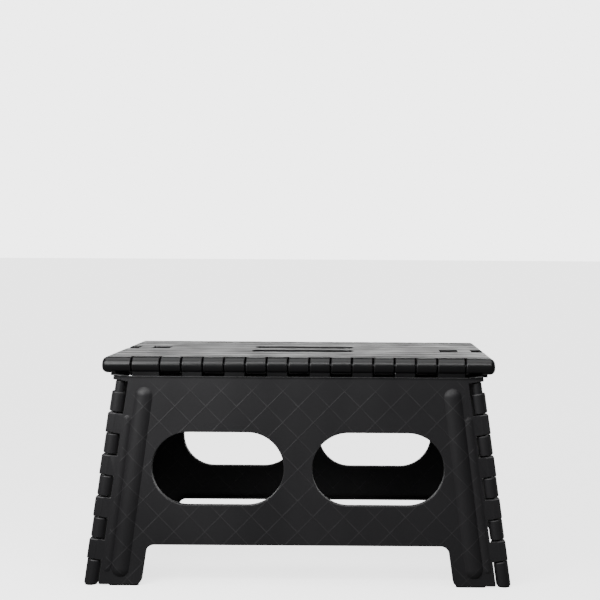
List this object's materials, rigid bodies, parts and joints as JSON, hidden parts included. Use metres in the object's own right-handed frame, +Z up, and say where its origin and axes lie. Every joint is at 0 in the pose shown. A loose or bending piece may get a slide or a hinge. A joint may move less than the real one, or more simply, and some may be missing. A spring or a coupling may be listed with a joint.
{
  "type": "folding step stool",
  "caption": "Moulded plastic step stool that folds flat: holed side panels, hinged end walls and a grooved two-part deck with a hand slot.",
  "frame": {"origin": "on the floor under the middle of the open stool", "axes": "+X along the deck, +Y from the front panel to the back panel, +Z up"},
  "size_m": [0.4294, 0.235, 0.2286],
  "materials": {
    "black_plastic": "black polypropylene with a fine moulded grain",
    "steel": "plain drawn wire",
    "rubber": "matt black rubber"
  },
  "bodies": {
    "front_panel": {"front_panel": "black_plastic", "corner_pin_left_front": "steel", "corner_pin_right_front": "steel", "panel_foot_left_front": "rubber", "panel_foot_right_front": "rubber"},
    "back_panel": {"back_panel": "black_plastic", "corner_pin_left_back": "steel", "corner_pin_right_back": "steel", "panel_foot_left_back": "rubber", "panel_foot_right_back": "rubber"},
    "deck_front": {"deck_front": "black_plastic", "deck_pin_front": "steel", "deck_pin_centre": "steel"},
    "deck_back": {"deck_back": "black_plastic", "deck_pin_back": "steel"},
    "end_left_front": {"end_left_front": "black_plastic", "end_pin_left": "steel", "end_foot_left_front": "rubber"},
    "end_left_back": {"end_left_back": "black_plastic", "end_foot_left_back": "rubber"},
    "end_right_front": {"end_right_front": "black_plastic", "end_pin_right": "steel", "end_foot_right_front": "rubber"},
    "end_right_back": {"end_right_back": "black_plastic", "end_foot_right_back": "rubber"}
  },
  "joints": [
    {"name": "fold", "type": "hinge", "parent": "front_panel", "child": "deck_front", "pos_m": [0, -0.107, 0.2206], "axis": [1, 0, 0], "range_deg": [0, 82]},
    {"name": "deck_middle", "type": "hinge", "parent": "deck_front", "child": "deck_back", "pos_m": [0, 0, 0.2206], "axis": [1, 0, 0], "range_deg": [-164, 0]},
    {"name": "deck_back_side", "type": "hinge", "parent": "deck_back", "child": "back_panel", "pos_m": [0, 0.107, 0.2206], "axis": [1, 0, 0], "range_deg": [0, 82]},
    {"name": "left_front_corner", "type": "hinge", "parent": "front_panel", "child": "end_left_front", "pos_m": [-0.2076, -0.107, 0], "axis": [0.1392, 0, 0.9903], "range_deg": [-82, 0]},
    {"name": "left_end_middle", "type": "hinge", "parent": "end_left_front", "child": "end_left_back", "pos_m": [-0.2076, 0, 0], "axis": [0.1392, 0, 0.9903], "range_deg": [0, 164]},
    {"name": "right_front_corner", "type": "hinge", "parent": "front_panel", "child": "end_right_front", "pos_m": [0.2076, -0.107, 0], "axis": [-0.1392, 0, 0.9903], "range_deg": [0, 82]},
    {"name": "right_end_middle", "type": "hinge", "parent": "end_right_front", "child": "end_right_back", "pos_m": [0.2076, 0, 0], "axis": [-0.1392, 0, 0.9903], "range_deg": [-164, 0]}
  ],
  "couplings": [
    {"joint": "deck_middle", "follows": "fold", "ratio": -2},
    {"joint": "deck_back_side", "follows": "fold", "ratio": 1},
    {"joint": "left_front_corner", "follows": "fold", "ratio": -1},
    {"joint": "left_end_middle", "follows": "fold", "ratio": 2},
    {"joint": "right_front_corner", "follows": "fold", "ratio": 1},
    {"joint": "right_end_middle", "follows": "fold", "ratio": -2}
  ]
}
